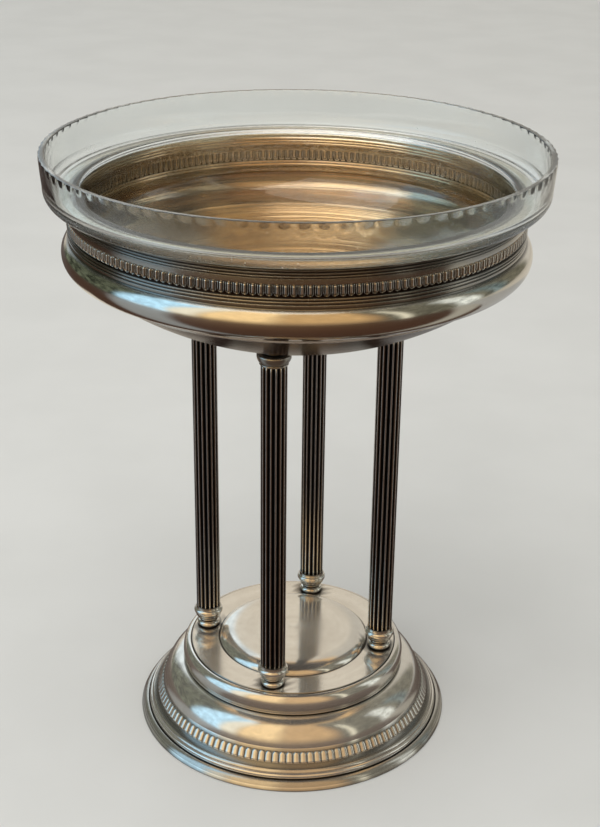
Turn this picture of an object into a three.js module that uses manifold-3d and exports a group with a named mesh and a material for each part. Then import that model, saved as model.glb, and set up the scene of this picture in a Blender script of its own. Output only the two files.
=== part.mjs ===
// Table centerpiece: a plated bowl with a lift-out glass liner, carried by four fluted columns on a
// stepped round base. Millimetres, Z up, origin at the centre of the ring that the base stands on.
import * as THREE from "three";
import { mergeVertices } from "three/addons/utils/BufferGeometryUtils.js";
import Module from "manifold-3d";

const wasm = await Module();
wasm.setup();

// Sheet and clearances
const baseSheet = 1.2;
const bowlSheet = 1.2;
const linerGlass = 3.6;
const linerSideGap = 2;
const linerFloorGap = 4;

// Base, from the table up
const lipHeight = 4.9;
const lipWidth = 4.9;
const lipCrest = 0.5;
const lipBevel = 1.2;
const lipGrooveWidth = 0.5;
const lipGrooveHeight = 1.4;
const restRingWidth = 2.8;
const footStepWidth = 2.5;
const footStepHeight = 3;
const footCoveWidth = 3.6;
const footCoveHeight = 4;
const baseBandWidth = 3;
const baseBandHeight = 5.2;
const baseBandMargin = 0.4;
const baseBeadDepth = 0.8;
const cushionFilletWidth = 0.7;
const cushionFilletHeight = 1.4;
const cushionWidth = 12.6;
const cushionHeight = 13.3;
const cushionSwell = 2.8;
const grooveWidth = 1;
const grooveSlope = 0.5;
const grooveHeight = 2.2;
const drumUndercut = 1.5;
const drumUndercutHeight = 3.4;
const drumWallHeight = 2.6;
const drumCornerWidth = 5;
const drumCornerHeight = 4.3;
const deckEdgeWidth = 0.5;
const deckEdgeHeight = 0.6;
const deckMargin = 0.95;
const domeRadius = 46;
const domeRise = 5.6;
const domeCrown = 0.9;
const domeShoulder = 6.5;

// Columns: foot, fluted shaft and capital
const shaftRadius = 7.45;
const shaftLength = 192.5;
const shaftWall = 0.85;
const fluteCount = 16;
const fluteDepth = 1;
const fluteShare = 0.78;
const footHeight = 14.7;
const footTorusOverhang = 0.55;
const footTorusRound = 1.6;
const footTorusHeight = 4.3;
const waistDepth = 1.75;
const collarOverhang = 1.85;
const collarHeight = 5.9;
const collarNeck = 1.1;
const capitalOverhang = 2.15;
const capitalTorusHeight = 8;
const capitalNeckDepth = 1.75;
const capitalNeckHeight = 2.5;
const capitalNeckFlare = 0.8;
const capitalNeckStep = 0.6;
const spigotLength = 5;
const spigotGap = 0.3;

// Tie rods, washers and nuts
const rodRadius = 2.5;
const rodBevel = 0.5;
const rodGap = 0.4;
const rodGrip = 7;
const rodTail = 2;
const washerWidth = 2.1;
const washerThickness = 1;
const nutWall = 1.35;
const nutHeight = 4;
const threadGap = 0.15;

// Bowl, from its flat underside up and out
const seatMargin = 2.4;
const dishWidth = 47;
const dishRise = 26;
const dishSag = 2;
const stepRingWidth = 1.2;
const stepRingHeight = 1.3;
const bulgeReach = 15.25;
const bulgeRise = 13;
const bulgeRound = 9;
const bulgeStart = -62;
const neckDepth = 4.4;
const shoulderGap = 3.2;
const reedPitch = 1.5;
const reedDepth = 0.6;
const lowerReeds = 2;
const upperReeds = 3;
const lowerReedGap = 0.3;
const upperReedGap = 3.3;
const bowlBandHeight = 6;
const bowlBeadDepth = 0.9;
const rimGap = 0.6;
const rimFlare = 4.2;
const rimRoll = 2.8;
const rimEdge = 0.8;

// Liner above the bowl's rim
const ledgeOverhang = 4.1;
const linerCornerWidth = 4.3;
const linerCornerHeight = 5.6;
const linerWallLean = 1.4;
const linerWallHeight = 18.2;
const linerBend = 3;
const linerBelly = 1.2;

// Facets: around the large turned pieces, and around the small ones
const turnFacets = 40;
const smallFacets = 16;
const rodFacets = 8;

// Worked out: radii of the columns' pieces
const footTorusRadius = shaftRadius + footTorusOverhang;
const waistRadius = shaftRadius - waistDepth;
const collarRadius = shaftRadius + collarOverhang;
const capitalRadius = shaftRadius + capitalOverhang;
const capitalNeckRadius = shaftRadius - capitalNeckDepth;
const shaftBore = shaftRadius - fluteDepth - shaftWall;
const spigotRadius = shaftBore - spigotGap;
const rodHole = rodRadius + rodGap;
const threadHole = rodRadius + threadGap;

// Worked out: where the columns stand, between the dome and the deck's edge
const columnCircle = domeRadius + deckMargin + footTorusRadius;
const deckRadius = columnCircle + footTorusRadius + deckMargin;
const columnAngles = [0, 1, 2, 3].map((k) => (k * Math.PI) / 2);

const at = (radius, z) => new THREE.Vector2(radius, z);
const rad = THREE.MathUtils.degToRad;

// Points on an ellipse's arc from one angle to another, both ends included.
function arc(centre, a, b, fromDegrees, toDegrees, steps) {
  const points = [];
  for (let i = 0; i <= steps; i++) {
    const t = rad(fromDegrees + ((toDegrees - fromDegrees) * i) / steps);
    points.push(at(centre.x + a * Math.cos(t), centre.y + b * Math.sin(t)));
  }
  return points;
}

// Points of a shallow curve between two ends, bowed to its left by sag (to its right if negative).
function bow(from, to, sag, steps) {
  const along = to.clone().sub(from);
  const side = at(-along.y, along.x).normalize();
  const points = [];
  for (let i = 0; i <= steps; i++) {
    const t = i / steps;
    const lift = 4 * t * (1 - t) * sag;
    points.push(from.clone().addScaledVector(along, t).addScaledVector(side, lift));
  }
  return points;
}

// The line parallel to an open line, to its left by gap, with mitred corners.
function parallel(line, gap) {
  const leftOf = (a, b) => at(a.y - b.y, b.x - a.x).normalize();
  return line.map((point, i) => {
    const before = leftOf(line[Math.max(i - 1, 0)], line[Math.max(i, 1)]);
    const after = leftOf(line[Math.min(i, line.length - 2)], line[Math.min(i + 1, line.length - 1)]);
    const mitre = before.clone().add(after).normalize();
    return point.clone().addScaledVector(mitre, gap / mitre.dot(after));
  });
}

// A solid of revolution about +Z from a profile of radius and height.
function turned(profile, facets) {
  return new THREE.LatheGeometry(profile, facets).rotateX(Math.PI / 2);
}

// A ring with a bore, from its outside line, given from the bottom up.
function turnedRing(outside, bore, facets) {
  const bottom = outside[0].y;
  const top = outside[outside.length - 1].y;
  return turned([at(bore, bottom), ...outside, at(bore, top), at(bore, bottom)], facets);
}

function solid(geometry) {
  const bare = geometry.index ? geometry.toNonIndexed() : geometry.clone();
  for (const name of Object.keys(bare.attributes)) {
    if (name !== "position") bare.deleteAttribute(name);
  }
  const merged = mergeVertices(bare, 1e-4);
  const mesh = new wasm.Mesh({
    numProp: 3,
    vertProperties: merged.attributes.position.array,
    triVerts: new Uint32Array(merged.index.array),
  });
  return new wasm.Manifold(mesh);
}

function geometryOf(manifold) {
  const mesh = manifold.getMesh();
  const corners = new Float32Array(mesh.numVert * 3);
  for (let i = 0; i < mesh.numVert; i++) {
    corners.set(mesh.vertProperties.subarray(i * mesh.numProp, i * mesh.numProp + 3), i * 3);
  }
  return new THREE.BufferGeometry()
    .setAttribute("position", new THREE.BufferAttribute(corners, 3))
    .setIndex(new THREE.BufferAttribute(mesh.triVerts, 1));
}

// Base: one spun sheet. Corners of its outline, from the dome outwards; heights add up from the table.
const stepFootZ = lipHeight + lipGrooveHeight;
const stepTopZ = stepFootZ + footStepHeight;
const baseBandFootZ = stepTopZ + footCoveHeight;
const baseBandTopZ = baseBandFootZ + baseBandHeight;
const cushionFootZ = baseBandTopZ + cushionFilletHeight;
const cushionTopZ = cushionFootZ + cushionHeight;
const grooveBottomZ = cushionTopZ + grooveSlope;
const grooveTopZ = grooveBottomZ + grooveHeight;
const drumFootZ = grooveTopZ + drumUndercutHeight;
const drumTopZ = drumFootZ + drumWallHeight;
const deckEdgeZ = drumTopZ + drumCornerHeight;
const deckHeight = deckEdgeZ + deckEdgeHeight;

const drumRadius = deckRadius + drumCornerWidth;
const grooveRadius = drumRadius - drumUndercut;
const cushionTop = at(grooveRadius + grooveWidth, cushionTopZ);
const cushionFoot = at(cushionTop.x + cushionWidth, cushionFootZ);
const baseBandTop = at(cushionFoot.x + cushionFilletWidth, baseBandTopZ);
const baseBandFoot = at(baseBandTop.x + baseBandWidth, baseBandFootZ);
const stepTop = at(baseBandFoot.x + footCoveWidth, stepTopZ);
const stepFoot = at(stepTop.x + footStepWidth, stepFootZ);
const lipGroove = at(stepFoot.x + lipGrooveWidth, lipHeight);
const lipCentre = at(lipGroove.x + lipWidth / 2, lipHeight / 2);
const baseRadius = lipGroove.x + lipWidth;

const dome = [
  at(0, deckHeight + domeRise),
  at((domeRadius - domeShoulder) / 2, deckHeight + domeRise - domeCrown / 4),
  ...arc(at(domeRadius - domeShoulder, deckHeight), domeShoulder, domeRise - domeCrown, 90, 0, 3),
];
const drum = [
  ...arc(at(deckRadius, drumTopZ), drumCornerWidth, drumCornerHeight, 90, 0, 3).slice(1),
  ...arc(at(grooveRadius, drumFootZ), drumUndercut, drumUndercutHeight, 0, -90, 2),
  at(grooveRadius, grooveBottomZ),
];
const cushion = bow(cushionTop, cushionFoot, cushionSwell, 4);
const footCove = arc(at(stepTop.x, baseBandFootZ), footCoveWidth, footCoveHeight, 180, 270, 2);
const footStep = arc(at(stepTop.x, stepFootZ), footStepWidth, footStepHeight, 90, 0, 2);

const marginShare = baseBandMargin / baseBandTop.distanceTo(baseBandFoot);
const baseBeads = bow(
  baseBandTop.clone().lerp(baseBandFoot, marginShare),
  baseBandFoot.clone().lerp(baseBandTop, marginShare),
  baseBeadDepth,
  2,
);
const foot = [...footCove, ...footStep.slice(1), lipGroove];
const baseOutside = [
  ...dome,
  at(deckRadius - deckEdgeWidth, deckHeight),
  at(deckRadius, deckEdgeZ),
  ...drum,
  ...cushion,
  baseBandTop,
  ...baseBeads,
  ...foot,
  ...arc(lipCentre, lipWidth / 2, lipHeight / 2 + lipCrest, 135, 0, 3),
  at(baseRadius, lipBevel),
  at(baseRadius - lipBevel, 0),
];
const baseInside = parallel(
  [...dome, at(deckRadius, deckHeight), ...drum, ...cushion, baseBandTop, ...foot],
  -baseSheet,
);
baseInside[0].x = 0;
const restRing = at(baseRadius - lipBevel - restRingWidth, 0);
const baseProfile = [...baseInside, restRing, ...baseOutside.reverse()];

// Worked out: heights of what stands on the base
const shaftBottom = deckHeight + footHeight;
const shaftTop = shaftBottom + shaftLength;
const capitalHeight = capitalTorusHeight + capitalNeckHeight;

function columnPlace(angle, z) {
  return new THREE.Vector3(columnCircle * Math.cos(angle), columnCircle * Math.sin(angle), z);
}

function baseShell() {
  let shell = solid(turned(baseProfile, turnFacets));
  for (const angle of columnAngles) {
    const hole = new THREE.CylinderGeometry(rodHole, rodHole, deckHeight, rodFacets);
    hole.rotateX(Math.PI / 2);
    hole.translate(...columnPlace(angle, deckHeight).toArray());
    shell = shell.subtract(solid(hole));
  }
  return geometryOf(shell);
}

// Column foot: a torus on the deck, a waist, a collar torus, and a spigot up into the shaft.
function columnFoot() {
  const torusMiddle = footTorusHeight / 2;
  const collarMiddle = footHeight - collarNeck - collarHeight / 2;
  const waistMiddle = (footTorusHeight + footHeight - collarNeck - collarHeight) / 2;
  const outside = [
    at(footTorusRadius - footTorusRound / 2, 0),
    ...arc(at(footTorusRadius - footTorusRound, torusMiddle), footTorusRound, torusMiddle, -40, 60, 2),
    at(waistRadius, waistMiddle),
    ...arc(at(shaftRadius, collarMiddle), collarOverhang, collarHeight / 2, -80, 80, 4),
    at(shaftRadius, footHeight),
    at(spigotRadius, footHeight),
    at(spigotRadius, footHeight + spigotLength),
  ];
  return turnedRing(outside, rodHole, smallFacets);
}

// Capital: a torus under a short neck that is soldered to the bowl, bored from below for the rod.
function columnCapital() {
  const torusMiddle = capitalTorusHeight / 2;
  const profile = [
    at(0, rodGrip),
    at(threadHole, rodGrip),
    at(threadHole, -spigotLength),
    at(spigotRadius, -spigotLength),
    at(spigotRadius, 0),
    at(shaftRadius, 0),
    ...arc(at(shaftRadius, torusMiddle), capitalOverhang, torusMiddle, -70, 70, 4),
    at(capitalNeckRadius, capitalTorusHeight + capitalNeckStep),
    at(capitalNeckRadius + capitalNeckFlare, capitalHeight),
    at(0, capitalHeight),
  ];
  return turned(profile, smallFacets);
}

// Fluted shaft: a tube whose outline has concave channels between narrow flat ribs.
function columnShaft() {
  const points = [];
  const pitch = (2 * Math.PI) / fluteCount;
  const cut = fluteShare * pitch;
  for (let k = 0; k < fluteCount; k++) {
    const start = k * pitch + (pitch - cut) / 2;
    for (const share of [0, 0.25, 0.75, 1]) {
      const angle = start + cut * share;
      const radius = shaftRadius - fluteDepth * 4 * share * (1 - share);
      points.push(at(radius * Math.cos(angle), radius * Math.sin(angle)));
    }
  }
  const outline = new THREE.Shape(points);
  outline.holes.push(circlePath(shaftBore, smallFacets));
  return new THREE.ExtrudeGeometry(outline, { depth: shaftLength, bevelEnabled: false });
}

function circlePath(radius, facets) {
  const points = [];
  for (let i = 0; i < facets; i++) {
    const angle = (2 * Math.PI * i) / facets;
    points.push(at(radius * Math.cos(angle), radius * Math.sin(angle)));
  }
  return new THREE.Path().setFromPoints(points);
}

// Tie rod: from its grip in the capital down through shaft, foot and deck to just below the nut.
const washerBottom = deckHeight - baseSheet - washerThickness;
const nutBottom = washerBottom - nutHeight;
const rodBottom = nutBottom - rodTail;
const rodTop = shaftTop + rodGrip - threadGap;

function tieRod() {
  const length = rodTop - rodBottom;
  const profile = [
    at(0, 0),
    at(rodRadius - rodBevel, 0),
    at(rodRadius, rodBevel),
    at(rodRadius, length - rodBevel),
    at(rodRadius - rodBevel, length),
    at(0, length),
  ];
  return turned(profile, rodFacets);
}

function washer() {
  const radius = rodHole + washerWidth;
  return turnedRing([at(radius, 0), at(radius, washerThickness)], rodHole, smallFacets);
}

// Nut: a hexagon, measured across its flats, with the rod's hole.
function nut() {
  const acrossFlats = 2 * (threadHole + nutWall);
  const outline = new THREE.Shape(circlePath(acrossFlats / Math.sqrt(3), 6).getPoints());
  outline.holes.push(circlePath(threadHole, rodFacets));
  return new THREE.ExtrudeGeometry(outline, { depth: nutHeight, bevelEnabled: false });
}

// Bowl: one spun sheet with a flat seat, a dish, a step ring, a round bulge, a reeded neck and a rim.
const bowlBottom = shaftTop + capitalHeight;
const seatRadius = columnCircle + capitalRadius + seatMargin;
const dishEdge = at(seatRadius + dishWidth, bowlBottom + dishRise);
const stepRingEdge = at(dishEdge.x + stepRingWidth, dishEdge.y + stepRingHeight);
const bulgeRadius = stepRingEdge.x + bulgeReach;
const bulgeCentre = at(bulgeRadius - bulgeRound, stepRingEdge.y + bulgeRise);
const neckRadius = bulgeRadius - neckDepth;
const shoulderAngle = THREE.MathUtils.radToDeg(Math.acos((bulgeRound - neckDepth) / bulgeRound));
const dish = bow(at(seatRadius, bowlBottom), dishEdge, -dishSag, 4);
const bulge = arc(bulgeCentre, bulgeRound, bulgeRound, bulgeStart, shoulderAngle, 6);
const shoulder = bulge[bulge.length - 1];

const lowerReedZ = shoulder.y + shoulderGap;
const bandBottom = lowerReedZ + lowerReeds * reedPitch + lowerReedGap;
const bandTop = bandBottom + bowlBandHeight;
const upperReedZ = bandTop + upperReedGap;
const rimFootZ = upperReedZ + upperReeds * reedPitch + rimGap;
const rimZ = rimFootZ + rimRoll;
const rimInner = neckRadius - bowlSheet;
const rimOuter = neckRadius + rimFlare;

// Ridges that stand out of the neck, one pitch apart, from a height upwards.
function reeds(z, count) {
  const points = [];
  for (let i = 0; i < count; i++) {
    points.push(at(neckRadius, z + i * reedPitch));
    points.push(at(neckRadius + reedDepth, z + (i + 0.5) * reedPitch));
  }
  return [...points, at(neckRadius, z + count * reedPitch)];
}

const bowlOutside = [
  at(0, bowlBottom),
  ...dish,
  at(stepRingEdge.x, (dishEdge.y + stepRingEdge.y) / 2),
  stepRingEdge,
  ...bulge,
  ...reeds(lowerReedZ, lowerReeds),
  ...bow(at(neckRadius, bandBottom), at(neckRadius, bandTop), -bowlBeadDepth, 2),
  ...reeds(upperReedZ, upperReeds),
  ...arc(at(rimOuter, rimFootZ), rimFlare, rimRoll - rimEdge, 180, 90, 2),
  at(rimOuter, rimZ),
];
const bowlInside = parallel(
  [at(0, bowlBottom), ...dish, stepRingEdge, ...bulge, at(neckRadius, rimZ)],
  bowlSheet,
);
bowlInside[0].x = 0;
bowlInside[bowlInside.length - 1].set(rimInner, rimZ);

// Liner: it hangs by its ledge on the bowl's rim and follows the bowl's inside with a gap.
const linerNeck = rimInner - linerSideGap;
const linerBelow = parallel(
  [at(0, bowlBottom), ...dish, stepRingEdge, bulge[0]],
  bowlSheet + linerFloorGap,
).filter((point, i) => i > 0 && point.x < linerNeck - linerBend);
const linerFloor = linerBelow[0].y;
const linerCorner = linerBelow[linerBelow.length - 1];
const linerTurn = at(linerNeck, bulgeCentre.y + bulgeRound / 2);
const ledgeRadius = rimOuter + ledgeOverhang;
const wallFoot = at(ledgeRadius + linerCornerWidth, rimZ + linerCornerHeight);
const linerRim = at(wallFoot.x + linerWallLean, wallFoot.y + linerWallHeight);
const linerOutside = [
  at(0, linerFloor),
  ...linerBelow,
  ...bow(linerCorner, linerTurn, -linerBelly, 3).slice(1),
  at(linerNeck, rimZ),
  ...arc(at(ledgeRadius, wallFoot.y), linerCornerWidth, linerCornerHeight, -90, 0, 3),
  linerRim,
];
const linerInside = parallel(linerOutside, linerGlass);
linerInside[0].x = 0;
linerInside[linerInside.length - 1].set(linerRim.x - linerGlass, linerRim.y);

// Finishes
function silver(colour, roughness) {
  return new THREE.MeshStandardMaterial({ color: colour, metalness: 1, roughness });
}
const brightSilver = () => silver(0xc9bfae, 0.22);
const satinSilver = () => silver(0xb9ad9a, 0.38);
const darkSilver = () => silver(0x6b6259, 0.42);
const steel = () => silver(0x8d8c88, 0.45);
const clearGlass = () =>
  new THREE.MeshStandardMaterial({
    color: 0xdfe6e0,
    metalness: 0,
    roughness: 0.04,
    transparent: true,
    opacity: 0.35,
  });

const centerpiece = new THREE.Group();

function add(name, geometry, material, place = new THREE.Vector3()) {
  const mesh = new THREE.Mesh(geometry, material);
  mesh.name = name;
  mesh.position.copy(place);
  centerpiece.add(mesh);
}

add("base_shell", baseShell(), satinSilver());
add("bowl_shell", turned([...bowlOutside, ...bowlInside.reverse()], turnFacets), brightSilver());
add("glass_liner", turned([...linerOutside, ...linerInside.reverse()], turnFacets), clearGlass());
columnAngles.forEach((angle, k) => {
  const number = k + 1;
  add(`column_foot_${number}`, columnFoot(), brightSilver(), columnPlace(angle, deckHeight));
  add(`column_shaft_${number}`, columnShaft(), darkSilver(), columnPlace(angle, shaftBottom));
  add(`column_capital_${number}`, columnCapital(), brightSilver(), columnPlace(angle, shaftTop));
  add(`tie_rod_${number}`, tieRod(), steel(), columnPlace(angle, rodBottom));
  add(`washer_${number}`, washer(), steel(), columnPlace(angle, washerBottom));
  add(`nut_${number}`, nut(), steel(), columnPlace(angle, nutBottom));
});

export default centerpiece;
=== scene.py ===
"""Table centerpiece: a silver-plated bowl with a cut glass liner, on four fluted columns and a stepped base.

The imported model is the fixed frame. Every piece here is a finely turned or fluted version of one of its
nodes, in the same place. Outlines are in millimetres and meshes in metres.
"""

import math
from dataclasses import dataclass, replace
from typing import Callable, Optional

import bpy
from mathutils import Matrix, Vector


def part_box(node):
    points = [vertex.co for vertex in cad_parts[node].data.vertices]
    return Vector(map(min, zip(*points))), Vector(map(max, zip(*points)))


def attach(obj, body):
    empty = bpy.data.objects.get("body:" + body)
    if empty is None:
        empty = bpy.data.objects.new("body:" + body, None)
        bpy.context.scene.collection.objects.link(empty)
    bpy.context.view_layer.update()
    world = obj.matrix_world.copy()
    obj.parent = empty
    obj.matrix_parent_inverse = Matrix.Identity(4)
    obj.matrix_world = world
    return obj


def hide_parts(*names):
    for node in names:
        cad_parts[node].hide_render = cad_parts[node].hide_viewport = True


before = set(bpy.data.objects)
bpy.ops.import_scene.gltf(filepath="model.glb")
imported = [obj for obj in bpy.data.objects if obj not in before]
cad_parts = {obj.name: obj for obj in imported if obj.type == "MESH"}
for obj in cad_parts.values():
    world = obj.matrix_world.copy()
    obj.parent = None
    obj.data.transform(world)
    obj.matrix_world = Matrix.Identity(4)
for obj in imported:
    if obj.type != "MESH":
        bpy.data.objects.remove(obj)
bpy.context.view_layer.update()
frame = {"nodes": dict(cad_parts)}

MM = 0.001


# Measures

def top_mm(node):
    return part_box(node)[1].z / MM


def bottom_mm(node):
    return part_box(node)[0].z / MM


def radius_mm(node):
    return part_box(node)[1].x / MM


BASE_RADIUS = radius_mm("base_shell")
DOME_TOP = top_mm("base_shell")
DECK = bottom_mm("column_foot_1")
SHAFT_BOTTOM = bottom_mm("column_shaft_1")
SHAFT_TOP = top_mm("column_shaft_1")
BOWL_BOTTOM = bottom_mm("bowl_shell")
BOWL_RADIUS = radius_mm("bowl_shell")
BOWL_RIM = top_mm("bowl_shell")
LINER_FLOOR = bottom_mm("glass_liner")
LINER_RADIUS = radius_mm("glass_liner")
LINER_RIM = top_mm("glass_liner")
FOOT_LOW, FOOT_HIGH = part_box("column_foot_1")
COLUMN_CIRCLE = (FOOT_LOW.x + FOOT_HIGH.x) / 2 / MM
COLUMN_ANGLES = (0, 90, 180, 270)
SHEET = 1.2
FACE_GAP = 0.02


# Outlines: points are (radius, height, tarnish), with tarnish from -1, rubbed bright, to 1, black

def arc(centre, a, b, start, end, steps, tone=0.0):
    """An arc round a centre with half-axes a and b, from start to end in degrees."""
    points = []
    for i in range(steps + 1):
        t = math.radians(start + (end - start) * i / steps)
        points.append((centre[0] + a * math.cos(t), centre[1] + b * math.sin(t), tone))
    return points


def bow(start, end, sag, steps, tone=0.0):
    """A shallow curve between two points, bowed to its left by sag."""
    dx, dz = end[0] - start[0], end[1] - start[1]
    length = math.hypot(dx, dz)
    points = []
    for i in range(steps + 1):
        t = i / steps
        lift = 4 * t * (1 - t) * sag / length
        points.append((start[0] + dx * t - dz * lift, start[1] + dz * t + dx * lift, tone))
    return points


def rounded(corners, steps=4):
    """A line through corners (radius, height, tarnish, fillet), each corner rounded by its fillet."""
    points = []
    for i, (r, z, tone, fillet) in enumerate(corners):
        if fillet == 0 or i in (0, len(corners) - 1):
            points.append((r, z, tone))
            continue
        here = Vector((r, z))
        to_last = Vector(corners[i - 1][:2]) - here
        to_next = Vector(corners[i + 1][:2]) - here
        reach = min(fillet, to_last.length * 0.49, to_next.length * 0.49)
        first = here + to_last.normalized() * reach
        last = here + to_next.normalized() * reach
        for k in range(steps + 1):
            t = k / steps
            p = first * (1 - t) ** 2 + here * 2 * t * (1 - t) + last * t * t
            points.append((p.x, p.y, tone))
    return points


# Turned pieces

@dataclass
class Row:
    """One ring of points: fine rings have several points for each of the others, and may be embossed."""
    radius: float
    height: float
    tone: float = 0.0
    fine: int = 1
    emboss: Optional[Callable] = None
    gilt: float = 0.0

    @property
    def on_axis(self):
        return self.radius < 1e-6


def plain_rows(points, gilt=0.0):
    return [Row(r, z, tone, gilt=gilt) for r, z, tone in points]


def ring_points(row, segments):
    """Points and tarnish of one row. emboss(turn) gives its shift in radius, in height, and its tarnish."""
    count = segments * row.fine
    for i in range(count):
        angle = 2 * math.pi * i / count
        radius, height, tone = row.radius, row.height, row.tone
        if row.emboss:
            out, up, extra = row.emboss(i / count)
            radius, height, tone = radius + out, height + up, tone + extra
        yield (radius * math.cos(angle) * MM, radius * math.sin(angle) * MM, height * MM), tone


def bridge(faces, low, low_count, high, high_count):
    """Faces between two rings that start at point numbers low and high."""
    if low_count > high_count:
        step = low_count // high_count
        for i in range(high_count):
            side = [low + (i * step + k) % low_count for k in range(step + 1)]
            faces.append(side + [high + (i + 1) % high_count, high + i])
        return
    step = high_count // low_count
    for i in range(low_count):
        side = [high + (i * step + k) % high_count for k in range(step, -1, -1)]
        faces.append([low + i, low + (i + 1) % low_count] + side)


def turned(name, rows, segments, place=(0, 0), sharp=32):
    """A solid of revolution from rows that run round its outline, from the axis to the axis or in a loop."""
    points, tones, gilts, faces, starts = [], [], [], [], []
    for row in rows:
        starts.append(len(points))
        ring = [((0, 0, row.height * MM), row.tone)] if row.on_axis else ring_points(row, segments)
        for point, tone in ring:
            points.append(point)
            tones.append(tone)
            gilts.append(row.gilt)
    pairs = [(i, i + 1) for i in range(len(rows) - 1)]
    if not rows[0].on_axis:
        pairs.append((len(rows) - 1, 0))
    for a, b in pairs:
        low, high = starts[a], starts[b]
        low_count, high_count = segments * rows[a].fine, segments * rows[b].fine
        if rows[a].on_axis:
            faces += [[low, high + (k + 1) % high_count, high + k] for k in range(high_count)]
        elif rows[b].on_axis:
            faces += [[low + k, low + (k + 1) % low_count, high] for k in range(low_count)]
        else:
            bridge(faces, low, low_count, high, high_count)
    return mesh_piece(name, points, faces, tones, gilts, place, sharp)


def mesh_piece(name, points, faces, tones, gilts, place, sharp):
    mesh = bpy.data.meshes.new(name)
    mesh.from_pydata(points, [], faces)
    mesh.validate()
    mesh.attributes.new("tarnish", "FLOAT", "POINT").data.foreach_set("value", tones)
    mesh.attributes.new("gilt", "FLOAT", "POINT").data.foreach_set("value", gilts)
    mesh.shade_smooth()
    mesh.set_sharp_from_angle(angle=math.radians(sharp))
    piece = bpy.data.objects.new(name, mesh)
    piece.location = (*place, 0)
    bpy.context.scene.collection.objects.link(piece)
    return piece


def stands_for(piece, node, body, material):
    """Dresses a piece, ties it to its body and lets it stand for a node of the frame."""
    piece.data.materials.append(material)
    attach(piece, body)
    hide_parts(node)


# Egg bands: each egg stands in a thin raised frame that is round at one end, with a dark dart between frames

EGG_STEPS = 30
EGG_ROWS = 18
EGG_END = 0.5
EGG_SINK = 0.3


@dataclass
class EggBand:
    """Measures of an egg band: count round the piece, rise in mm, and egg and frame as shares of the pitch.

    shade is the tarnish of an egg's crown and gap that between the frames, and crest says how steeply the
    egg darkens towards its edge.
    """
    count: int
    rise: float
    body: float
    frame: tuple
    shade: float
    crest: float
    gap: float = 1.0


BOWL_EGGS = EggBand(count=200, rise=0.9, body=0.26, frame=(0.33, 0.43), shade=-0.4, crest=1.2)
BASE_EGGS = EggBand(count=126, rise=0.8, body=0.48, frame=(0.5, 0.5), shade=-0.25, crest=4, gap=0.7)


def egg(across, up, pitch, length, band):
    """Rise, 0 to 1, and tarnish of an egg band at a share across one pitch and mm up from its round ends."""
    side = (across - 0.5) * pitch
    reach = math.hypot(side, max(pitch / 2 - up, 0)) / pitch
    inner, outer = band.frame
    flat_end = min(1.0, max(0.0, (length - up) / EGG_END))
    if reach < band.body:
        u = reach / band.body
        crown = (math.sqrt(1 - 0.75 * u * u) - 0.5) / 0.5
        tone = band.shade + 0.2 * flat_end + (band.gap - 0.15 - band.shade) * u ** band.crest
        return (0.15 + 0.85 * crown) * math.sqrt(flat_end), tone
    if inner < reach < outer:
        crown = math.sin(math.pi * (reach - inner) / (outer - inner))
        return 0.05 + 0.65 * crown * flat_end, 0.8 - 1.7 * crown
    return 0.0, band.gap


def egg_rows(low, high, band, normal, segments, round_top=False):
    """Fine rows of an egg band between two points, raised along the band's normal."""
    rows = []
    fine = band.count * EGG_STEPS // segments
    pitch = 2 * math.pi * (low[0] + high[0]) / 2 / band.count
    length = math.hypot(high[0] - low[0], high[1] - low[1])
    for k in range(EGG_ROWS + 1):
        t = k / EGG_ROWS
        up = (1 - t if round_top else t) * length

        def emboss(turn, up=up):
            lift, tone = egg((turn * band.count) % 1, up, pitch, length, band)
            lift = band.rise * (lift - EGG_SINK)
            return lift * normal[0], lift * normal[1], tone
        r = low[0] + (high[0] - low[0]) * t
        z = low[1] + (high[1] - low[1]) * t
        rows.append(Row(r, z, 0.0, fine, emboss))
    return rows


# Base

BASE_SEGMENTS = 378
LIP_RADIUS, LIP_HEIGHT = 91.9, 5.0
BASE_BAND_LOW, BASE_BAND_HIGH = (85.25, 12.5), (81.95, 18.25)
BASE_BAND_LEAN = math.atan2(3.0, 5.2)
DECK_RINGS = (62.6, 61.5, 60, 58.5, 57, 55, 53, 51, 49.5, 48.2, 47.2)
DOME_FOOT, DOME_EDGE = 46.0, 33.8
FOOT_RADIUS = 6.9
# How far the dirt and painted shade reach out from the column feet, in mm
DIRT_AND_SHADE_REACH = 5.0


def foot_dirt_and_shade(radius):
    """Darkening round the column feet, for a ring of this radius: dirt where polish doesn't reach, and
    painted shade where the deck mirrors the columns' dark sides.
    """
    def emboss(turn):
        angle = 2 * math.pi * (turn - round(turn * 4) / 4)
        gap = math.hypot(radius * math.cos(angle) - COLUMN_CIRCLE, radius * math.sin(angle)) - FOOT_RADIUS
        ragged = 1.0 + 0.5 * math.sin(turn * 97) + 0.4 * math.sin(turn * 223 + radius)
        return 0.0, 0.0, max(0.0, 1 - gap / (DIRT_AND_SHADE_REACH * ragged)) ** 1.5
    return emboss


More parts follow.
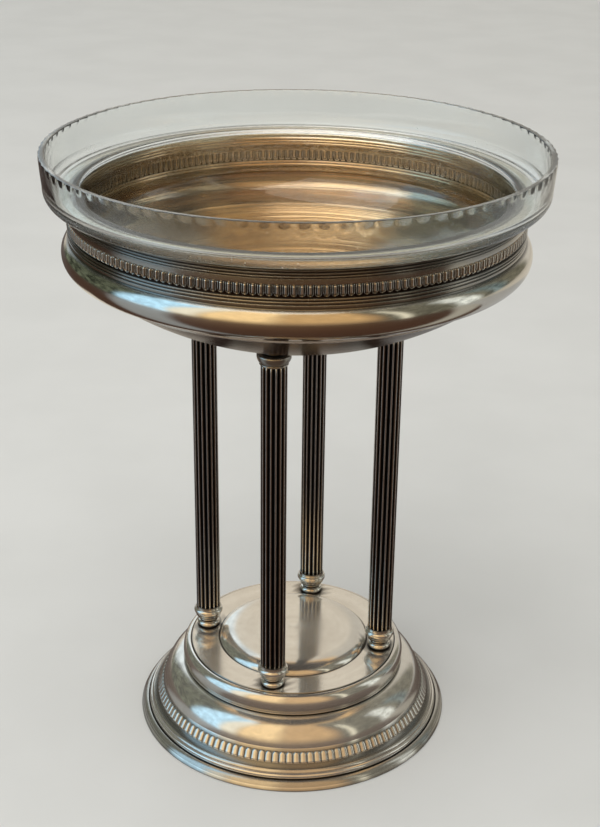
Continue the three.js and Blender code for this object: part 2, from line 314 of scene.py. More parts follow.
def base_foot():
    """Outside of the base from its rest ring over the lip and the cove to the egg band."""
    foot = rounded([
        (BASE_RADIUS - 4, 0, 0.5, 0),
        (BASE_RADIUS - 0.5, 0, 0.6, 0.2),
        (BASE_RADIUS - 0.05, 0.45, 0.5, 0.25),
        (BASE_RADIUS - 1.15, 2.2, 0.1, 0.3),
        (BASE_RADIUS - 1.3, 2.45, 0.5, 0),
    ], 3)
    foot += bow((BASE_RADIUS - 1.5, 2.6), (LIP_RADIUS, LIP_HEIGHT), -0.45, 10, 0.33)
    foot += rounded([
        (LIP_RADIUS - 0.35, LIP_HEIGHT - 0.35, 1.0, 0),
        (LIP_RADIUS - 0.8, LIP_HEIGHT - 0.1, 1.0, 0.2),
        (LIP_RADIUS - 0.85, LIP_HEIGHT + 0.8, 0.9, 0),
    ])
    foot += bow((90.85, 6.0), (89.5, 7.9), -0.5, 8, -0.1)
    foot += bow((89.35, 8.0), (88.0, 9.75), -0.3, 8, 0.15)
    return foot + [(87.85, 9.85, 0.9)] + bow((87.7, 9.9), (85.4, 12.3), 0.3, 10, 0.7)


def base_side():
    """Outside of the base from the egg band over cushion, groove and drum to the edge of the deck."""
    head = rounded([
        (81.9, 18.2, 0.6, 0),
        (81.5, 18.9, 0.35, 0.2),
        (81.0, 19.9, 0.0, 0.6),
        (80.9, 20.5, -0.1, 0),
    ])
    cushion = bow((80.9, 20.4), (68.9, 33.3), -2.5, 28)
    groove = rounded([
        (68.5, 33.6, 0.7, 0),
        (67.7, 33.9, 1.0, 0.2),
        (67.8, 34.6, 0.9, 0.2),
        (68.6, 34.9, 0.4, 0.2),
        (68.75, 35.7, 0.1, 0.2),
        (68.6, 36.2, 0.5, 0),
    ], 3)
    drum = [(68.7, 36.5, 0.4), (68.85, 38.0, 0.2)]
    drum += arc((63.85, 39.6), 5.0, 6.7, 0, 84, 20)
    edge = rounded([
        (64.2, 46.2, 0.8, 0),
        (63.95, 45.85, 1.0, 0.1),
        (63.75, 46.3, 0.9, 0),
        (63.4, DECK, 0.4, 0),
    ])
    return head + cushion + groove + drum + edge


def base_top():
    """Rows of the deck, the crease and the dome, with dirt and painted shade round the column feet."""
    deck = [(r, DECK, 0.0) for r in DECK_RINGS]
    crease = [(46.8, DECK, 0.5), (46.4, DECK, 1.0), (46.1, DECK, 1.0)]
    shoulder = arc((DOME_EDGE, DECK), DOME_FOOT - DOME_EDGE, 5.2, 2, 88, 24)
    rows = [Row(r, z, tone, emboss=foot_dirt_and_shade(r)) for r, z, tone in deck + crease + shoulder]
    return rows + plain_rows([(30, 52.15, 0.0), (20, 52.27, 0.0), (10, 52.37, 0.0), (0, DOME_TOP, 0.0)])


def base_underside():
    """Inside of the base from the middle of the dome down to its rest ring."""
    corners = [
        (0, DOME_TOP - SHEET, 0.2, 0),
        (38.5, 50.2, 0.2, 3),
        (44.8, DECK - SHEET, 0.3, 1.5),
        (64, DECK - SHEET, 0.2, 3),
        (67.6, 42, 0.2, 2),
        (67.4, 38, 0.3, 1),
        (66.1, 35, 0.3, 1),
        (66.4, 32.8, 0.3, 1),
        (74.5, 29.5, 0.2, 5),
        (79.4, 21, 0.2, 4),
        (84, 11, 0.3, 1.5),
        (89.5, 7.4, 0.3, 1),
        (92.2, 0, 0.5, 0),
    ]
    return rounded(corners, 6)


def make_base(material):
    normal = (math.cos(BASE_BAND_LEAN), math.sin(BASE_BAND_LEAN))
    band = egg_rows(BASE_BAND_LOW, BASE_BAND_HIGH, BASE_EGGS, normal, BASE_SEGMENTS, True)
    outside = plain_rows(base_foot()) + band + plain_rows(base_side()) + base_top()
    piece = turned("base", plain_rows(base_underside()) + outside, BASE_SEGMENTS)
    stands_for(piece, "base_shell", "stand", material)


# Bowl

BOWL_SEGMENTS = 400
NECK = BOWL_RADIUS - 4.4
BAND_LOW, BAND_HIGH = 319.0, 325.0
BULGE = 9.0
BULGE_CENTRE = (BOWL_RADIUS - BULGE, 304.8)
SEAT_RINGS = (0, 30, 62)
FLOOR_GILT = 1.3
REED_DEPTH = 0.55
REED_STEPS = 6
REED_EDGE = 0.95


def reed(z, height, tone):
    """A half-round ridge on the neck, with its own tarnish at the crest, between two dark lines."""
    ridge = []
    crest = arc((NECK, z + height / 2), REED_DEPTH, height / 2, -78, 78, REED_STEPS)
    for k, (r, h, _) in enumerate(crest):
        side = abs(2 * k / REED_STEPS - 1)
        ridge.append((r, h, tone + (REED_EDGE - tone) * side ** 1.5))
    return [(NECK - 0.05, z, 0.9)] + ridge + [(NECK - 0.05, z + height, 0.9)]


def bowl_lower():
    """Outside of the bowl from the middle of its seat up to the egg band."""
    seat = [(r, BOWL_BOTTOM, 0.6) for r in SEAT_RINGS]
    # The dish under the bowl is darkened: painted shade, with some tarnish.
    dish = bow((66.95, BOWL_BOTTOM + 0.15), (113.7, 290.4), -2, 22, 0.45)
    step = rounded([
        (113.95, 290.55, 0.9, 0),
        (114.9, 290.75, -0.6, 0.3),
        (115.15, 291.75, -0.9, 0.35),
        (115.0, 291.95, 0.3, 0),
        (115.5, 292.05, 0.6, 0),
    ])
    belly = [(118.2, 293.2, 0.35), (121.8, 295.0, 0.3)]
    bulge = arc(BULGE_CENTRE, BULGE, BULGE, -60, 42, 30)
    darkening = arc(BULGE_CENTRE, BULGE, BULGE, 44, 56, 7)
    bulge += [(r, z, 0.85 * k / 7) for k, (r, z, _) in enumerate(darkening)]
    fillet = rounded([
        (126.35, 312.45, 0.6, 0),
        (125.9, 313.0, 0.9, 0.2),
        (126.5, 313.35, 0.45, 0.15),
        (126.5, 314.7, 0.5, 0.15),
        (126.0, 315.0, 0.9, 0),
    ], 3)
    reeds = reed(315.3, 1.5, 0.45) + reed(317.0, 1.4, 0.55)
    return seat + dish + step + belly + bulge + fillet + reeds + [(NECK, 318.75, 1.0)]


def bowl_upper():
    """Outside of the bowl from the egg band up and over its rim to the reeds inside."""
    shelf = rounded([
        (NECK - 0.1, 325.25, 0.8, 0),
        (NECK + 0.3, 325.5, 0.3, 0.1),
        (NECK + 0.3, 328.2, 0.6, 0.1),
        (NECK - 0.05, 328.4, 0.9, 0),
    ], 3)
    reeds = reed(328.5, 1.3, 0.6) + reed(329.9, 1.5, 0.7) + reed(331.6, 1.4, 0.7)
    cavetto = [(NECK, 333.2, 0.9)] + arc((NECK + 4.2, 333.4), 4.1, 2.0, 176, 96, 8, 0.75)
    rim = rounded([
        (NECK + 4.1, 335.4, 0.0, 0),
        (NECK + 4.2, 335.8, -0.5, 0.2),
        (NECK + 4.1, BOWL_RIM - 0.05, -0.6, 0.2),
        (NECK + 3.4, BOWL_RIM - 0.05, 0.0, 0),
        (NECK - 0.6, BOWL_RIM - 0.05, 0.0, 0.3),
        (NECK - SHEET, BOWL_RIM - 1, 0.2, 0.6),
        (NECK - SHEET, 333.5, 0.2, 0),
    ], 3)
    return shelf + reeds + cavetto + rim


def inner_reeds(heights):
    """The reeds of the neck as they show inside: a low ridge and a dark line under it at each height."""
    points = []
    for z in heights:
        points += arc((NECK - SHEET, z), -0.3, 0.7, 75, -75, 4, 0.1) + [(NECK - SHEET, z - 0.8, 0.5)]
    return points


def bowl_neck_inside():
    """Inside of the neck from the rim down to the egg band."""
    return inner_reeds((332.3, 330.7, 329.1)) + [(NECK - SHEET, BAND_HIGH + 0.5, 0.4)]


def bowl_inside():
    """Inside of the bowl from the egg band down to the ring above its dish."""
    neck = [(NECK - SHEET, BAND_LOW - 0.4, 0.4)] + inner_reeds((317.7, 316.0))
    bulge = arc(BULGE_CENTRE, BULGE - SHEET, BULGE - SHEET, 63, -60, 24)
    ring = [
        (121.2, 296.1, 0.1),
        (117.9, 294.5, 0.1),
        (115.4, 293.3, 0.5),
        (114.6, 292.9, -0.3),
        (113.2, 291.6, 0.3),
    ]
    return neck + bulge + ring


def bowl_floor():
    """Dish and flat floor inside the bowl, where the gilding is least worn."""
    dish = bow((112.9, 291.3), (66.8, BOWL_BOTTOM + SHEET + 0.1), 2, 22, 0.14)
    return dish + [(r, BOWL_BOTTOM + SHEET, 0.1) for r in reversed(SEAT_RINGS)]


def make_bowl(material):
    face = NECK + 0.1
    band = egg_rows((face, BAND_LOW), (face, BAND_HIGH), BOWL_EGGS, (1, 0), BOWL_SEGMENTS)
    dents = replace(BOWL_EGGS, rise=0.3, shade=-0.2)
    back = egg_rows((face - SHEET, BAND_HIGH), (face - SHEET, BAND_LOW), dents, (1, 0), BOWL_SEGMENTS, True)
    for row in back:
        row.gilt = 1.0
    rows = plain_rows(bowl_lower()) + band + plain_rows(bowl_upper()) + plain_rows(bowl_neck_inside(), 1.0)
    rows += back + plain_rows(bowl_inside(), 1.0) + plain_rows(bowl_floor(), FLOOR_GILT)
    piece = turned("bowl", rows, BOWL_SEGMENTS)
    stands_for(piece, "bowl_shell", "stand", material)


# Liner

LINER_SEGMENTS = 368
LINER_NECK = 122.8
LINER_GLASS = 3.6
WALL_FOOT = (138.6, 341.8)
LEDGE = 134.3
LINER_CUTS = 92
CUT_HEIGHT = 3.4
CUT_DEPTH = 0.5
CUT_ROWS = 5
CUT_FINE = 4
CUT_SEAM = 0.015


def hollow(turn):
    """Depth of the cuts at a place round the liner, from 1 in the middle of a cut to nearly 0 between two."""
    across = abs((turn * LINER_CUTS) % 1 - 0.5) * 2
    return max(1 - across ** 2, CUT_SEAM)


def liner_wall():
    """Outer wall of the liner, with hollow cuts side by side under its rim, whose lower edges are rows."""
    rows = [
        Row(WALL_FOOT[0] + 0.05, WALL_FOOT[1] + 2),
        Row(139.3, 351),
        Row(139.6, LINER_RIM - CUT_HEIGHT - 1),
    ]
    for k in range(CUT_ROWS + 1):
        share = 1 - k / CUT_ROWS

        def cut(turn, share=share):
            depth = hollow(turn)
            return -CUT_DEPTH * depth * (1 - share), -CUT_HEIGHT * depth * share, 0.0
        rows.append(Row(LINER_RADIUS - 0.12 - 0.15 * share, LINER_RIM - 0.12, 0.0, CUT_FINE, cut))

    def rim(turn):
        return -CUT_DEPTH * hollow(turn), 0.0, 0.0
    rows.append(Row(LINER_RADIUS - 0.45, LINER_RIM, 0.3, CUT_FINE, rim))
    return rows


def make_liner(material):
    below = [(0, LINER_FLOOR, 0.0), (30, LINER_FLOOR, 0.0)]
    below += rounded([
        (55, LINER_FLOOR, 0, 0),
        (65.8, LINER_FLOOR, 0, 6),
        (89, 280.6, 0, 25),
        (110.3, 294.3, 0, 18),
        (119.5, 303.4, 0, 9),
        (LINER_NECK, 311, 0, 4),
        (LINER_NECK, BOWL_RIM, 0, 0.6),
        (LEDGE - 1.0, BOWL_RIM, 0, 0),
    ], 8)
    corner = arc((LEDGE, WALL_FOOT[1]), WALL_FOOT[0] - LEDGE, 5.55, -84, 0, 12, 0.6)
    inside = rounded([
        (LINER_RADIUS - 1.7, LINER_RIM, 0.3, 0),
        (LINER_RADIUS - LINER_GLASS, LINER_RIM, 0.3, 0.7),
        (135.0, 342.4, 0, 2.4),
        (131.9, 339.9, 0, 1.6),
        (LINER_NECK - LINER_GLASS, 339.7, 0, 1.6),
        (LINER_NECK - LINER_GLASS, 312, 0, 4),
        (116.6, 305.6, 0, 8),
        (107.9, 297.1, 0, 18),
        (87.3, 283.8, 0, 25),
        (65, 273.3, 0, 6),
        (40, LINER_FLOOR + LINER_GLASS, 0, 0),
    ], 8) + [(0, LINER_FLOOR + LINER_GLASS, 0.0)]
    rows = plain_rows(below) + plain_rows(corner) + liner_wall() + plain_rows(inside)
    piece = turned("liner", rows, LINER_SEGMENTS, sharp=24)
    stands_for(piece, "glass_liner", "liner", material)


# Columns

SMALL_SEGMENTS = 64
SHAFT_RADIUS = 7.45
SHAFT_BORE = 5.6
SHAFT_BEVEL = 0.25
FLUTES = 16
FLUTE_DEPTH = 1.05
FLUTE_SHARE = 0.66
FLUTE_FINE = 4
RIB_DROP = 0.22
SPIGOT = 5.3
ROD_HOLE = 2.9
SCREW_HOLE = 2.65


def column_place(number):
    angle = math.radians(COLUMN_ANGLES[number - 1])
    return COLUMN_CIRCLE * math.cos(angle) * MM, COLUMN_CIRCLE * math.sin(angle) * MM


def make_foot(number, material):
    z = DECK
    spigot_top = z + 19.6
    outline = rounded([
        (ROD_HOLE, spigot_top, 0.5, 0),
        (ROD_HOLE, z + FACE_GAP, 0.5, 0),
        (5.7, z + FACE_GAP, 0.9, 0),
        (5.9, z + 0.2, 0.8, 0.1),
    ])
    outline += arc((5.35, z + 2.0), 1.6, 1.7, -70, 80, 12, -0.1)
    outline += rounded([
        (5.6, z + 4.0, 0.8, 0),
        (5.5, z + 4.6, 1.0, 0.3),
        (5.9, z + 5.1, 0.7, 0),
    ])
    outline += bow((6.1, z + 5.2), (8.3, z + 9.2), -0.35, 8, 0.15)
    outline += arc((7.2, z + 11.0), 1.8, 2.1, -40, 68, 12, -0.2)
    outline += [
        (7.6, z + 14.65, 0.5),
        (SPIGOT, z + 14.68, 1.0),
        (SPIGOT, spigot_top, 0.8),
        (ROD_HOLE, spigot_top, 0.5),
    ]
    piece = turned(f"foot_{number}", plain_rows(outline[:-1]), SMALL_SEGMENTS, column_place(number))
    stands_for(piece, f"column_foot_{number}", "stand", material)


def make_capital(number, material):
    z = SHAFT_TOP
    spigot_end = z - 4.9
    outline = [
        (0, z + 7, 0.5),
        (SCREW_HOLE, z + 7, 0.5),
        (SCREW_HOLE, spigot_end, 0.5),
        (SPIGOT, spigot_end, 0.5),
        (SPIGOT, z + FACE_GAP, 1.0),
    ]
    outline += rounded([
        (7.5, z + 0.05, 0.9, 0),
        (8.1, z + 0.35, 0.2, 0.2),
        (8.2, z + 1.0, 0.3, 0.2),
        (7.95, z + 1.35, 0.8, 0),
    ])
    outline += bow((8.0, z + 1.5), (9.6, z + 5.4), -0.45, 10, 0.5)
    outline += arc((8.5, z + 5.5), 1.1, 1.3, 5, 80, 6, 0.4)
    outline += rounded([
        (7.4, z + 6.9, 0.7, 0),
        (6.2, z + 7.3, 0.9, 0.5),
        (6.0, z + 9.3, 0.9, 0.6),
        (6.5, z + 10.45, 0.7, 0.2),
        (0, z + 10.45, 0.5, 0),
    ])
    piece = turned(f"capital_{number}", plain_rows(outline), SMALL_SEGMENTS, column_place(number))
    stands_for(piece, f"column_capital_{number}", "stand", material)


def flute(turn):
    """Shift of the shaft's surface at a place round it, with its tarnish: round channels, near black as
    painted shade, and narrow ribs.
    """
    across = abs((turn * FLUTES) % 1 - 0.5) * 2
    if across >= FLUTE_SHARE:
        rib = (across - FLUTE_SHARE) / (1 - FLUTE_SHARE)
        return -RIB_DROP * (1 - rib) ** 2, 0.0, 0.25 - 0.3 * rib
    depth = math.sqrt(1 - (across / FLUTE_SHARE) ** 2)
    return -RIB_DROP - (FLUTE_DEPTH - RIB_DROP) * depth, 0.0, 0.92 + 0.08 * depth


def make_shaft(number, material):
    low, high = SHAFT_BOTTOM + FACE_GAP, SHAFT_TOP - FACE_GAP
    rows = [Row(SHAFT_BORE, high, 0.6), Row(SHAFT_BORE, low, 0.6)]
    for z in (low, low + 0.35, low + 4, (low + high) / 2, high - 4, high - 0.35, high):
        shrink = SHAFT_BEVEL if z in (low, high) else 0.0
        rows.append(Row(SHAFT_RADIUS - shrink, z, 0.0, FLUTE_FINE, flute))
    piece = turned(f"shaft_{number}", rows, SMALL_SEGMENTS, column_place(number), sharp=40)
    stands_for(piece, f"column_shaft_{number}", "stand", material)


# Fasteners

THREAD_PITCH = 0.8
THREAD_DEPTH = 0.28
THREAD_LENGTH = 9
THREAD_STEPS = 90
ROD_RADIUS = 2.5
ROD_CHAMFER = 0.6
WASHER_RADIUS = 5.0
NUT_FLATS = 4.0
ROD_SEGMENTS, WASHER_SEGMENTS, NUT_SEGMENTS = 32, 48, 72


def make_rod(number, material):
    low, high = bottom_mm(f"tie_rod_{number}"), top_mm(f"tie_rod_{number}")
    rows = [Row(0, low), Row(ROD_RADIUS - ROD_CHAMFER, low)]
    for i in range(THREAD_STEPS + 1):
        z = low + 0.5 + THREAD_LENGTH * i / THREAD_STEPS

        def emboss(turn, z=z):
            phase = (z / THREAD_PITCH - turn) % 1
            return -THREAD_DEPTH * abs(2 * phase - 1), 0, 0.6 * abs(2 * phase - 1)
        rows.append(Row(ROD_RADIUS - 0.02, z, 0.0, 1, emboss))
    rows += [
        Row(ROD_RADIUS - 0.15, low + THREAD_LENGTH + 0.8),
        Row(ROD_RADIUS - 0.15, high - 0.5),
        Row(ROD_RADIUS - ROD_CHAMFER, high),
        Row(0, high),
    ]
    piece = turned(f"rod_{number}", rows, ROD_SEGMENTS, column_place(number))
    stands_for(piece, f"tie_rod_{number}", "stand", material)


def make_washer(number, material):
    low, high = bottom_mm(f"washer_{number}"), top_mm(f"washer_{number}")
    outline = rounded([
        (ROD_HOLE, high, 0.2, 0),
        (ROD_HOLE, low, 0.2, 0.1),
        (WASHER_RADIUS, low, 0.0, 0.2),
        (WASHER_RADIUS, high, 0.0, 0.1),
        (ROD_HOLE, high, 0.2, 0),
    ])
    rows = plain_rows(outline[:-1])
    piece = turned(f"steel_washer_{number}", rows, WASHER_SEGMENTS, column_place(number))
    stands_for(piece, f"washer_{number}", "stand", material)


def make_nut(number, material):
    low, high = bottom_mm(f"nut_{number}"), top_mm(f"nut_{number}")
    rows = [Row(SCREW_HOLE, high, 0.3), Row(SCREW_HOLE, low + 0.4, 0.5), Row(3.0, low, 0.1)]
    for z in (low, low + 0.25, low + 0.5, low + 0.75, high - 0.75, high - 0.5, high - 0.25, high):
        inset = min(z - low, high - z)
        cone = NUT_FLATS - 0.1 + inset * 1.2

        def emboss(turn, cone=cone):
            side = math.radians(((turn * 360 + 30) % 60) - 30)
            return min(NUT_FLATS / math.cos(side), cone) - NUT_FLATS, 0, 0
        rows.append(Row(NUT_FLATS, z, 0.0, 1, emboss))
    piece = turned(f"hexagon_nut_{number}", rows, NUT_SEGMENTS, column_place(number), sharp=20)
    stands_for(piece, f"nut_{number}", "stand", material)


# Shader node helpers

def add_node(tree, kind, values=None, **settings):
    """A node with its settings made and its inputs set or linked, by name or number."""
    node = tree.nodes.new(kind)
    for name, value in settings.items():
        setattr(node, name, value)
    for name, value in (values or {}).items():
        socket = node.inputs[name]
        if isinstance(value, bpy.types.NodeSocket):
            tree.links.new(value, socket)
        else:
            socket.default_value = value
    return node


def math_node(tree, operation, *values, clamp=False):
    values = {i: v for i, v in enumerate(values)}
    return add_node(tree, "ShaderNodeMath", values, operation=operation, use_clamp=clamp).outputs[0]


def product(tree, *values):
    return math_node(tree, "MULTIPLY", *values)


def total(tree, *values, clamp=False):
    return math_node(tree, "ADD", *values, clamp=clamp)


def mix_colour(tree, share, first, second):
    return add_node(tree, "ShaderNodeMix", {0: share, 6: first, 7: second}, data_type="RGBA").outputs[2]


def ramp(tree, value, low, high, to_low=0.0, to_high=1.0):
    values = {0: value, 1: low, 2: high, 3: to_low, 4: to_high}
    return add_node(tree, "ShaderNodeMapRange", values, interpolation_type="SMOOTHSTEP").outputs[0]


def noise(tree, vector, scale, detail=3.0, roughness=0.5):
    values = {"Vector": vector, "Scale": scale, "Detail": detail, "Roughness": roughness}
    return add_node(tree, "ShaderNodeTexNoise", values).outputs["Fac"]


def new_group(name, inputs, outputs):
    """A node group with named sockets that hold numbers; returns it with its input and output nodes."""
    group = bpy.data.node_groups.new(name, "ShaderNodeTree")
    for label, value in inputs.items():
        group.interface.new_socket(label, in_out="INPUT", socket_type="NodeSocketFloat").default_value = value
    for label in outputs:
        group.interface.new_socket(label, in_out="OUTPUT", socket_type="NodeSocketFloat")
    return group, group.nodes.new("NodeGroupInput"), group.nodes.new("NodeGroupOutput")


def use_group(tree, group, values):
    """Outputs of a group placed in a material with the material's own values."""
    return add_node(tree, "ShaderNodeGroup", node_tree=group, values=values).outputs


def object_place(tree):
    return tree.nodes.new("ShaderNodeTexCoord").outputs["Object"]


def held(tree, name):
    """What the mesh's points hold under a name: their tarnish or their gilding."""
    return add_node(tree, "ShaderNodeAttribute", attribute_name=name).outputs["Fac"]


# Shared effects

def turning_marks_group():
    """Fine rings left by spinning and polishing: they change with radius and height, little round a piece."""
    group, entry, result = new_group(
        "turning_marks",
        {"Ring Scale": 900.0, "Around": 6.0},
        ("Marks", "Bands", "Waves"),
    )
    x, y, z = add_node(group, "ShaderNodeSeparateXYZ", {0: object_place(group)}).outputs
    radius = math_node(group, "SQRT", total(group, product(group, x, x), product(group, y, y)))
    across = product(group, radius, entry.outputs["Ring Scale"])
    up = product(group, z, entry.outputs["Ring Scale"])
    turn = math_node(group, "ARCTAN2", y, x)
    around = product(group, math_node(group, "SINE", turn), entry.outputs["Around"])
    fine = add_node(group, "ShaderNodeCombineXYZ", {0: across, 1: up, 2: around}).outputs[0]
    group.links.new(noise(group, fine, 1.0, 2.0, 0.6), result.inputs["Marks"])
    group.links.new(noise(group, fine, 0.16, 2.0, 0.5), result.inputs["Bands"])
    group.links.new(noise(group, fine, 0.35, 3.0, 0.65), result.inputs["Waves"])
    return group


def tarnish_and_shade_group():
    """Silver tarnish and painted shade: a film on undersides, painted shade with some tarnish, soft clouds of
    tarnish, black in recesses, none where it is rubbed.
    """
    group, entry, result = new_group(
        "silver_tarnish_and_shade",
        {"Under": 0.6, "Clouds": 0.2},
        ("Film And Shade", "Recess", "Rubbed"),
    )
    tarnish = held(group, "tarnish")
    normal = group.nodes.new("ShaderNodeTexCoord").outputs["Normal"]
    upward = add_node(group, "ShaderNodeSeparateXYZ", {0: normal}).outputs[2]
    # Downward faces take the film: painted shade under the pieces, with some tarnish.
    under = ramp(group, upward, -0.5, -0.92)
    wide = ramp(group, noise(group, object_place(group), 28.0, 5.0, 0.6), 0.42, 0.72)
    small = ramp(group, noise(group, object_place(group), 170.0, 4.0, 0.65), 0.4, 0.75)
    clouds = total(group, product(group, wide, 0.7), product(group, small, 0.5))
    clouds = product(group, clouds, entry.outputs["Clouds"])
    film = total(group, product(group, under, entry.outputs["Under"]), clouds, clamp=True)
    recess = math_node(group, "MAXIMUM", tarnish, 0.0, clamp=True)
    rubbed = math_node(group, "MAXIMUM", product(group, tarnish, -1.0), 0.0, clamp=True)
    group.links.new(film, result.inputs["Film And Shade"])
    group.links.new(recess, result.inputs["Recess"])
    group.links.new(rubbed, result.inputs["Rubbed"])
    return group


def bent(tree, place):
    """Places shifted a little this way and that, so that what follows them runs in bends."""
    soft = {"Vector": place, "Scale": 30.0, "Detail": 2.0}
    shift = add_node(tree, "ShaderNodeTexNoise", soft).outputs["Color"]
    shift = add_node(tree, "ShaderNodeVectorMath", {0: shift, "Scale": 0.02}, operation="SCALE").outputs[0]
    return add_node(tree, "ShaderNodeVectorMath", {0: place, 1: shift}, operation="ADD").outputs[0]


def pits_group():
    """Small dark pits through the plate, a few to the palm's width, and hair scratches in all directions."""
    group, entry, result = new_group(
        "pits_and_scratches",
        {"Pit Scale": 60.0, "Scratch Scale": 40.0},
        ("Pits", "Scratches"),
    )
    place = object_place(group)
    cells = add_node(group, "ShaderNodeTexVoronoi", {"Vector": place, "Scale": entry.outputs["Pit Scale"]})
    chosen = add_node(group, "ShaderNodeSeparateColor", {0: cells.outputs["Color"]})
    size = product(group, ramp(group, chosen.outputs[0], 0.86, 1.0), 0.07)
    pits = ramp(group, math_node(group, "SUBTRACT", size, cells.outputs["Distance"]), 0.0, 0.02)
    stretch = {"Vector": bent(group, place), "Rotation": (0.4, 0.9, 0.5), "Scale": (1, 9, 1)}
    stretched = add_node(group, "ShaderNodeMapping", stretch).outputs[0]
    lines = {"Vector": stretched, "Scale": entry.outputs["Scratch Scale"]}
    edges = add_node(group, "ShaderNodeTexVoronoi", lines, feature="DISTANCE_TO_EDGE").outputs["Distance"]
    group.links.new(pits, result.inputs["Pits"])
    group.links.new(ramp(group, edges, 0.012, 0.0), result.inputs["Scratches"])
    return group


TURNING = turning_marks_group()
TARNISH_AND_SHADE = tarnish_and_shade_group()
PITS = pits_group()


# Finishes

RUBBED_COVER = 0.85
PIT_COVER = 0.85
PIT_DEPTH, SCRATCH_DEPTH = 0.8, 0.012
GILT_COVER = 0.65
GILT_CLEAN = 0.75
GILT_STREAKS = 2.2
GILT_WAVES = 10.0


def new_material(name):
    material = bpy.data.materials.new(name)
    material.use_nodes = True
    tree = material.node_tree
    tree.nodes.clear()
    shader = tree.nodes.new("ShaderNodeBsdfPrincipled")
    output = tree.nodes.new("ShaderNodeOutputMaterial")
    tree.links.new(shader.outputs[0], output.inputs[0])
    return material, tree, shader


@dataclass
class SilverLook:
    """How one metal finish looks: colours of clean plate, film and recess, and the marks on its surface."""
    plate: tuple
    film: tuple
    recess: tuple
    roughness: float
    # under is the share of film on downward faces: painted shade with some tarnish
    under: float
    clouds: float
    metal: float = 1.0
    brushed: float = 0.6
    marks: float = 0.05
    ring_scale: float = 900.0
    around: float = 6.0
    pit_scale: float = 60.0
    scratch_scale: float = 40.0
    gilding: tuple = (0.80, 0.55, 0.30, 1)


def silver_colour(tree, look, gilt, marks, tarnish, pits):
    """Plate under gilding, film (on undersides painted shade with some tarnish), streaks of film and black
    recesses, with rubbed crests and dark pits.
    """
    colour = mix_colour(tree, product(tree, gilt, GILT_COVER), look.plate, look.gilding)
    film = product(tree, tarnish["Film And Shade"], math_node(tree, "SUBTRACT", 1.0, product(tree, gilt, GILT_CLEAN)))
    colour = mix_colour(tree, film, colour, look.film)
    streaks = ramp(tree, marks["Bands"], 0.3, 0.75, 0.0, 0.14)
    streaks = product(tree, streaks, math_node(tree, "MULTIPLY_ADD", gilt, GILT_STREAKS, 1.0))
    colour = mix_colour(tree, streaks, colour, look.film)
    colour = mix_colour(tree, tarnish["Recess"], colour, look.recess)
    colour = mix_colour(tree, product(tree, tarnish["Rubbed"], RUBBED_COVER), colour, look.plate)
    return mix_colour(tree, product(tree, pits["Pits"], PIT_COVER), colour, look.recess)


def silver_roughness(tree, look, gilt, marks, tarnish, pits):
    """Roughness of the finish, and a little more in turning marks, recesses, gilding and scratches."""
    rough = total(tree, look.roughness, product(tree, marks["Marks"], 0.06))
    rough = total(tree, rough, product(tree, tarnish["Recess"], 0.2))
    rough = total(tree, rough, product(tree, gilt, 0.03))
    return total(tree, rough, product(tree, pits["Scratches"], 0.04), clamp=True)


def silver_height(tree, look, gilt, marks, pits):
    """Turning marks, waves and soft dents, less pits and scratches."""
    waves = product(tree, marks["Waves"], math_node(tree, "MULTIPLY_ADD", gilt, GILT_WAVES, 0.1))
    dents = product(tree, noise(tree, object_place(tree), 55.0, 2.0, 0.45), 0.3)
    height = total(tree, total(tree, product(tree, marks["Marks"], look.marks), waves), dents)
    height = math_node(tree, "SUBTRACT", height, product(tree, pits["Pits"], PIT_DEPTH))
    return math_node(tree, "SUBTRACT", height, product(tree, pits["Scratches"], SCRATCH_DEPTH))


def silver(name, look):
    material, tree, shader = new_material(name)
    marks = use_group(tree, TURNING, {"Ring Scale": look.ring_scale, "Around": look.around})
    tarnish = use_group(tree, TARNISH_AND_SHADE, {"Under": look.under, "Clouds": look.clouds})
    pits = use_group(tree, PITS, {"Pit Scale": look.pit_scale, "Scratch Scale": look.scratch_scale})
    gilt = held(tree, "gilt")
    colour = silver_colour(tree, look, gilt, marks, tarnish, pits)
    rough = silver_roughness(tree, look, gilt, marks, tarnish, pits)
    height = silver_height(tree, look, gilt, marks, pits)
    bump = add_node(tree, "ShaderNodeBump", {"Strength": 0.4, "Distance": 0.0002, "Height": height})
    metal = math_node(tree, "SUBTRACT", look.metal, product(tree, tarnish["Rubbed"], 0.3))
    round_axis = add_node(tree, "ShaderNodeTangent", direction_type="RADIAL", axis="Z")
    tree.links.new(colour, shader.inputs["Base Color"])
    tree.links.new(rough, shader.inputs["Roughness"])
    tree.links.new(bump.outputs[0], shader.inputs["Normal"])
    tree.links.new(metal, shader.inputs["Metallic"])
    tree.links.new(round_axis.outputs[0], shader.inputs["Tangent"])
    shader.inputs["Anisotropic"].default_value = look.brushed
    shader.inputs["Anisotropic Rotation"].default_value = 0.25
    return material


